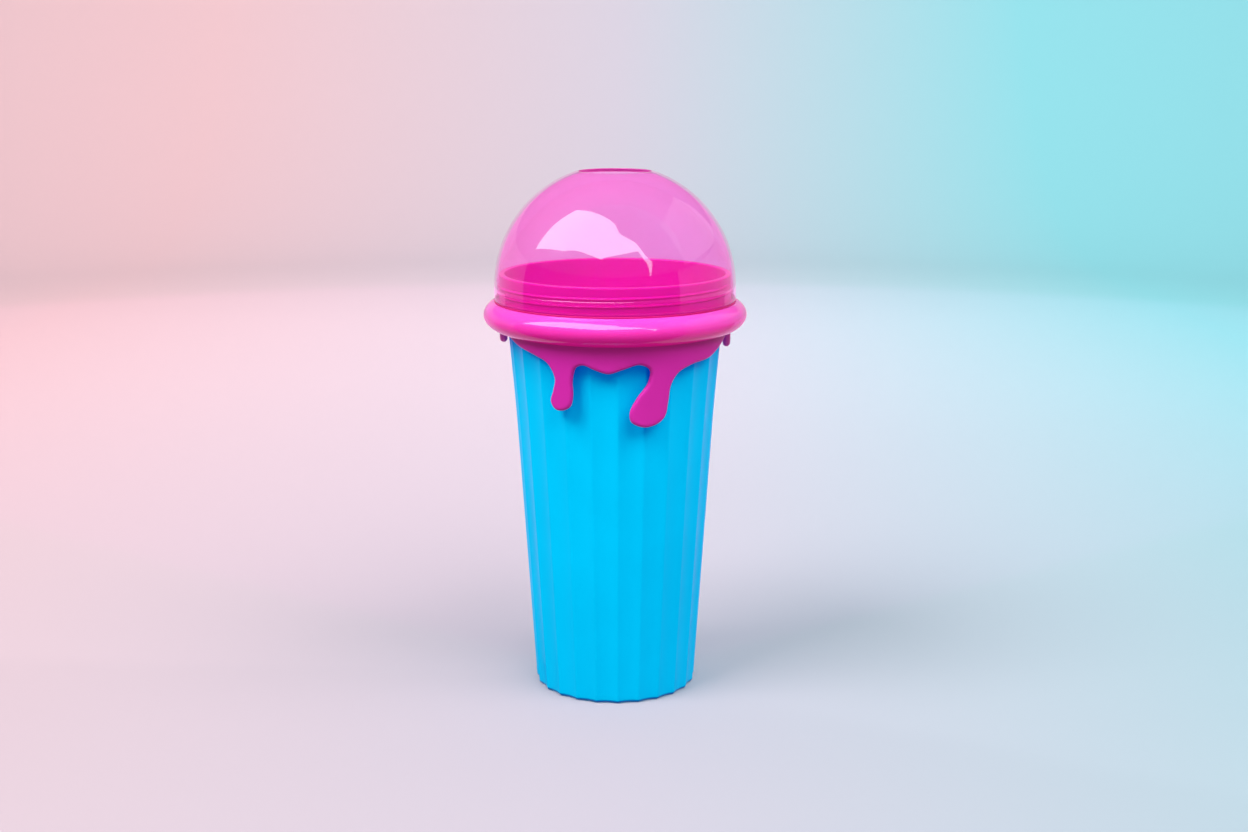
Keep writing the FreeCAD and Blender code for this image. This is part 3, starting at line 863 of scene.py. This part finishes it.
def build_neck():
    """The rigid core: floor with a throat, shoulder, and the neck with a rounded rim."""
    floor = NECK_LOW.z + THROAT_LIP
    longest_side = 1.2 * MM
    outline = rounded([
        (THROAT, NECK_LOW.z, 0.4 * MM),
        (SHOULDER, NECK_LOW.z, 0.2 * MM),
        (SHOULDER, SEAL_SEAT, 0.15 * MM),
        (NECK_OUTER, SEAL_SEAT, 0),
        (NECK_OUTER, NECK_HIGH.z, 0.7 * MM),
        (NECK_BORE, NECK_HIGH.z, 0.7 * MM),
        (NECK_BORE, floor + 2 * THROAT_LIP, 2 * MM),
        (NECK_BORE - THROAT_LIP, floor + THROAT_LIP / 2, 1.5 * MM),
        (THROAT, floor, 0.8 * MM),
    ])
    return lathe("neck", divided(outline, longest_side))


def build_seal():
    """The flat ring under the dome's foot, with softly rounded edges."""
    edge, edge_steps = 0.25 * MM, 4
    longest_side = 0.6 * MM
    outline = rounded([
        (SEAL_BORE, SEAL_LOW.z, edge),
        (SEAL_OUTER, SEAL_LOW.z, edge),
        (SEAL_OUTER, SEAL_HIGH.z, edge),
        (SEAL_BORE, SEAL_HIGH.z, edge),
    ], edge_steps)
    return lathe("seal", divided(outline, longest_side))


def build_dome():
    """The dome's shell with a softly broken edge at its foot and round its straw hole."""
    inner_end = math.degrees(math.acos(STRAW_HOLE / DOME_BORE))
    outer_end = math.degrees(math.acos(STRAW_HOLE / DOME_OUTER))
    short_of_hole = 0.5
    arc_steps, hole_steps, edge_steps, turns = 84, 4, 4, 320
    edge = 0.35 * MM
    longest_side = 1.0 * MM
    centre = (0, DOME_CENTRE)
    outside = arc(centre, (DOME_OUTER, DOME_OUTER), 0, outer_end - short_of_hole, arc_steps)
    inside = arc(centre, (DOME_BORE, DOME_BORE), inner_end - short_of_hole, 0, arc_steps)
    hole_low = DOME_CENTRE + DOME_BORE * math.sin(math.radians(inner_end)) + edge
    hole_high = DOME_HIGH.z - edge
    hole_height = hole_high - hole_low
    hole = [(STRAW_HOLE, hole_high - hole_height * k / hole_steps) for k in range(hole_steps + 1)]
    foot = rounded([
        (DOME_BORE, DOME_CENTRE, 0),
        (DOME_BORE, DOME_LOW.z, edge),
        (DOME_OUTER, DOME_LOW.z, edge),
        (DOME_OUTER, DOME_CENTRE, 0),
    ], edge_steps)
    outline = outside + hole + inside + foot[1:-1]
    return lathe("dome", divided(outline, longest_side), turns)


# ---------------------------------------------------------------- put the cup together

sleeve = build_cup()
dress(sleeve, sleeve_material(), "sleeve", "sleeve_silicone", "outer_cup")
skirt = build_skirt()
dress(skirt, skirt_material(), "collar", "skirt_silicone", "drip_skirt")
roll = build_roll()
dress(roll, roll_material(), "collar", "roll_plastic", "collar_roll")

neck_finish = neck_material()
neck = build_neck()
dress(neck, neck_finish, "collar", "collar_plastic", "neck_ring")
neck_thread = thread_rib("neck_thread", NECK_OUTER, 1, NECK_THREAD_START, NECK_THREAD_TURNS)
dress(neck_thread, neck_finish, "collar", "collar_plastic", "neck_ring")

seal = build_seal()
dress(seal, seal_material(), "seal", "seal_rubber", "dome_seal")

dome_finish = dome_material()
dome = build_dome()
dress(dome, dome_finish, "dome", "dome_plastic", "dome_lid")
dome_thread_start = NECK_THREAD_START + THREAD_PITCH / 2
dome_thread = thread_rib("dome_thread", DOME_BORE, -1, dome_thread_start, DOME_THREAD_TURNS)
dress(dome_thread, dome_finish, "dome", "dome_plastic", "dome_lid")

film = liner_material()
for node, shader in (
    ("liner_outer_wall", film),
    ("liner_inner_wall", film),
    ("freezing_gel", gel_material()),
    ("liner_rim_ring", rim_material()),
    ("gel_fill_plugs", plug_material()),
    ("rim_gasket", seal_material()),
):
    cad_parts[node].data.materials.clear()
    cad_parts[node].data.materials.append(shader.material)


# ---------------------------------------------------------------- studio

ROOM_REACH = 1.3
ROOM_LOW = 0.002
ROOM_HIGH = 0.55
ROOM_STEPS = 24


def floor_material():
    """Paper from pink on the left to blue on the right, with a faint glow that lifts its shadows."""
    s = Shader("floor_paper")
    s.set(Roughness=0.7, Specular_IOR_Level=0.2)
    s.set(Emission_Color=(0.0, 0.75, 1.0, 1), Emission_Strength=0.16)
    reach = 0.6
    across = s.between(s.axis("X"), -reach, reach)
    pink, middle, blue = (0.40, 0.205, 0.205), (0.31, 0.234, 0.262), (0.135, 0.290, 0.305)
    s.feed("Base Color", s.ramp(across, pink, blue, 0.0, 1.0, middle))
    return s


def pale_floor():
    """A pale floor that curves up all round, just below the cup's foot."""
    flat, rise = 1.5, 0.55
    flat_steps, rise_steps, turns = 12, 16, 96
    below = 0.2 * MM
    outline = [(flat * k / flat_steps, 0.0) for k in range(flat_steps + 1)]
    outline += arc((flat, rise), (rise, rise), -90, 0, rise_steps)[1:]
    vertices = [(0, 0, -below)]
    for k in range(turns):
        c, s = math.cos(TURN * k / turns), math.sin(TURN * k / turns)
        vertices += [(r * c, r * s, z - below) for r, z in outline[1:]]
    n = len(outline) - 1
    faces = []
    for k in range(turns):
        a, b = 1 + k * n, 1 + (k + 1) % turns * n
        faces.append((0, a, b))
        faces += [(a + i, a + i + 1, b + i + 1, b + i) for i in range(n - 1)]
    floor = new_object("floor", vertices, faces)
    floor.data.materials.append(floor_material().material)
    floor.visible_glossy = False
    floor.visible_diffuse = False


def reflected_panel(name, vertices, faces, strength, colour=(1, 1, 1)):
    """A panel of the studio that only shows in reflections."""
    mesh = bpy.data.meshes.new(name)
    mesh.from_pydata(vertices, [], faces)
    panel = bpy.data.objects.new(name, mesh)
    bpy.context.scene.collection.objects.link(panel)
    material = bpy.data.materials.new(name)
    material.use_nodes = True
    nodes = material.node_tree.nodes
    nodes.remove(nodes["Principled BSDF"])
    emission = nodes.new("ShaderNodeEmission")
    emission.inputs["Color"].default_value = (*colour, 1)
    emission.inputs["Strength"].default_value = strength
    material.node_tree.links.new(emission.outputs["Emission"], nodes["Material Output"].inputs["Surface"])
    mesh.materials.append(material)
    panel.visible_camera = False
    panel.visible_diffuse = False
    panel.visible_transmission = False
    panel.visible_shadow = False


def key_reflection():
    """The bright overhead panel whose outline makes the large highlight on the dome."""
    height = 1.0
    softbox = [
        (-1.75, 0.06), (-0.41, 0.02), (-0.27, -0.09), (-0.15, -0.20), (0.0, -0.36), (0.06, -0.54),
        (0.20, -0.63), (0.33, -0.69), (0.50, -0.86), (0.64, -1.01), (0.96, -1.21), (2.3, -3.4), (1.0, -1.5),
        (0.45, -0.93), (0.10, -1.12), (-0.14, -1.18), (-0.34, -1.28), (-0.56, -1.02), (-0.78, -0.77),
        (-1.05, -0.68),
    ]
    vertices = [(x, y, height) for x, y in softbox]
    reflected_panel("key_reflection", vertices, [tuple(range(len(softbox)))], 8.0)


def room_arc(start, end):
    """(x, y) along the room's wall, by degrees from the front towards the right."""
    angles = [math.radians(start + (end - start) * k / ROOM_STEPS) for k in range(ROOM_STEPS + 1)]
    return [(ROOM_REACH * math.sin(a), -ROOM_REACH * math.cos(a)) for a in angles]


def room_wall(ends):
    """Vertices and faces of an upright wall, its lower points first."""
    count = len(ends)
    vertices = [(x, y, z) for z in (ROOM_LOW, ROOM_HIGH) for x, y in ends]
    return vertices, [(k, k + 1, k + 1 + count, k + count) for k in range(count - 1)]


def ground_fan(centre):
    """Faces from the first points of a panel to its centre point."""
    return [(k, k + 1, centre) for k in range(ROOM_STEPS)]


def room_reflections():
    """The room at the cup's own height: unlit in front, pale behind, over a brighter pinkish ground."""
    centre = (0, 0, ROOM_LOW)
    left, right, back_left = -94, 62, 266

    vertices, faces = room_wall(room_arc(left, right))
    faces += ground_fan(len(vertices))
    reflected_panel("dark_room", vertices + [centre], faces, 0.06)

    vertices, faces = room_wall(room_arc(right, back_left))
    reflected_panel("pale_room", vertices, faces, 0.6)

    ground_start, ground_end = 125, 235
    vertices = [(x, y, ROOM_LOW) for x, y in room_arc(ground_start, ground_end)]
    faces = ground_fan(len(vertices))
    reflected_panel("pale_ground", vertices + [centre], faces, 1.05, (1.0, 0.6, 0.9))


def window_reflection():
    """A wide pale window high on the right."""
    x = 1.1
    front, back = -0.35, 1.3
    low, high = 0.56, 1.7
    window = [(x, front, low), (x, back, low), (x, back, high), (x, front, high)]
    reflected_panel("window_reflection", window, [(0, 1, 2, 3)], 0.9)


def area_light(name, place, aim, size, power):
    """A soft lamp that lights surfaces but isn't mirrored in them."""
    data = bpy.data.lights.new(name, "AREA")
    data.shape = "RECTANGLE"
    data.size, data.size_y = size
    data.energy = power
    lamp = bpy.data.objects.new(name, data)
    lamp.location = place
    lamp.rotation_euler = (Vector(aim) - Vector(place)).to_track_quat("-Z", "Y").to_euler()
    lamp.visible_glossy = False
    bpy.context.scene.collection.objects.link(lamp)


def studio_air():
    """The room's own light: dimmest at eye level, and a plain pale backdrop to the camera."""
    world = bpy.data.worlds.new("studio_air")
    world.use_nodes = True
    nodes, links = world.node_tree.nodes, world.node_tree.links
    axes = nodes.new("ShaderNodeSeparateXYZ")
    links.new(nodes.new("ShaderNodeTexCoord").outputs["Generated"], axes.inputs["Vector"])
    at_eye_level = 0.22
    more_above, more_below = (0.8, 0.18), (-0.8, 0.45)
    shares = []
    for edge, gain in (more_above, more_below):
        share = nodes.new("ShaderNodeMapRange")
        share.inputs["From Max"].default_value = edge
        share.inputs["To Max"].default_value = gain
        links.new(axes.outputs["Z"], share.inputs["Value"])
        shares.append(share.outputs["Result"])
    both = nodes.new("ShaderNodeMath")
    links.new(shares[0], both.inputs[0])
    links.new(shares[1], both.inputs[1])
    total = nodes.new("ShaderNodeMath")
    links.new(both.outputs["Value"], total.inputs[0])
    total.inputs[1].default_value = at_eye_level
    room = nodes["Background"]
    room.inputs["Color"].default_value = (0.97, 0.94, 0.98, 1)
    links.new(total.outputs["Value"], room.inputs["Strength"])
    backdrop = nodes.new("ShaderNodeBackground")
    backdrop.inputs["Color"].default_value = (0.70, 0.66, 0.75, 1)
    mix = nodes.new("ShaderNodeMixShader")
    links.new(nodes.new("ShaderNodeLightPath").outputs["Is Camera Ray"], mix.inputs["Fac"])
    links.new(room.outputs["Background"], mix.inputs[1])
    links.new(backdrop.outputs["Background"], mix.inputs[2])
    links.new(mix.outputs["Shader"], nodes["World Output"].inputs["Surface"])
    bpy.context.scene.world = world


def studio():
    pale_floor()
    key_reflection()
    room_reflections()
    window_reflection()
    area_light("key", place=(-0.75, -0.52, 1.2), aim=(0, 0, 0.12), size=(0.8, 0.7), power=29)
    area_light("fill", place=(0.6, -0.65, 1.25), aim=(0, 0, 0.1), size=(1.5, 0.9), power=32)
    area_light("backdrop", place=(0, 0.7, 1.2), aim=(0, 2.0, 0.25), size=(1.6, 0.5), power=42)
    studio_air()


def camera():
    """The camera fitted to the photograph."""
    degrees_down = 12.36
    data = bpy.data.cameras.new("camera")
    data.lens = 50
    data.sensor_width = 36
    cam = bpy.data.objects.new("camera", data)
    cam.location = (0.0039, -0.7525, 0.2865)
    cam.rotation_euler = (math.radians(90 - degrees_down), 0, 0)
    bpy.context.scene.collection.objects.link(cam)
    bpy.context.scene.camera = cam


studio()
camera()
bpy.context.scene.view_settings.view_transform = "Standard"
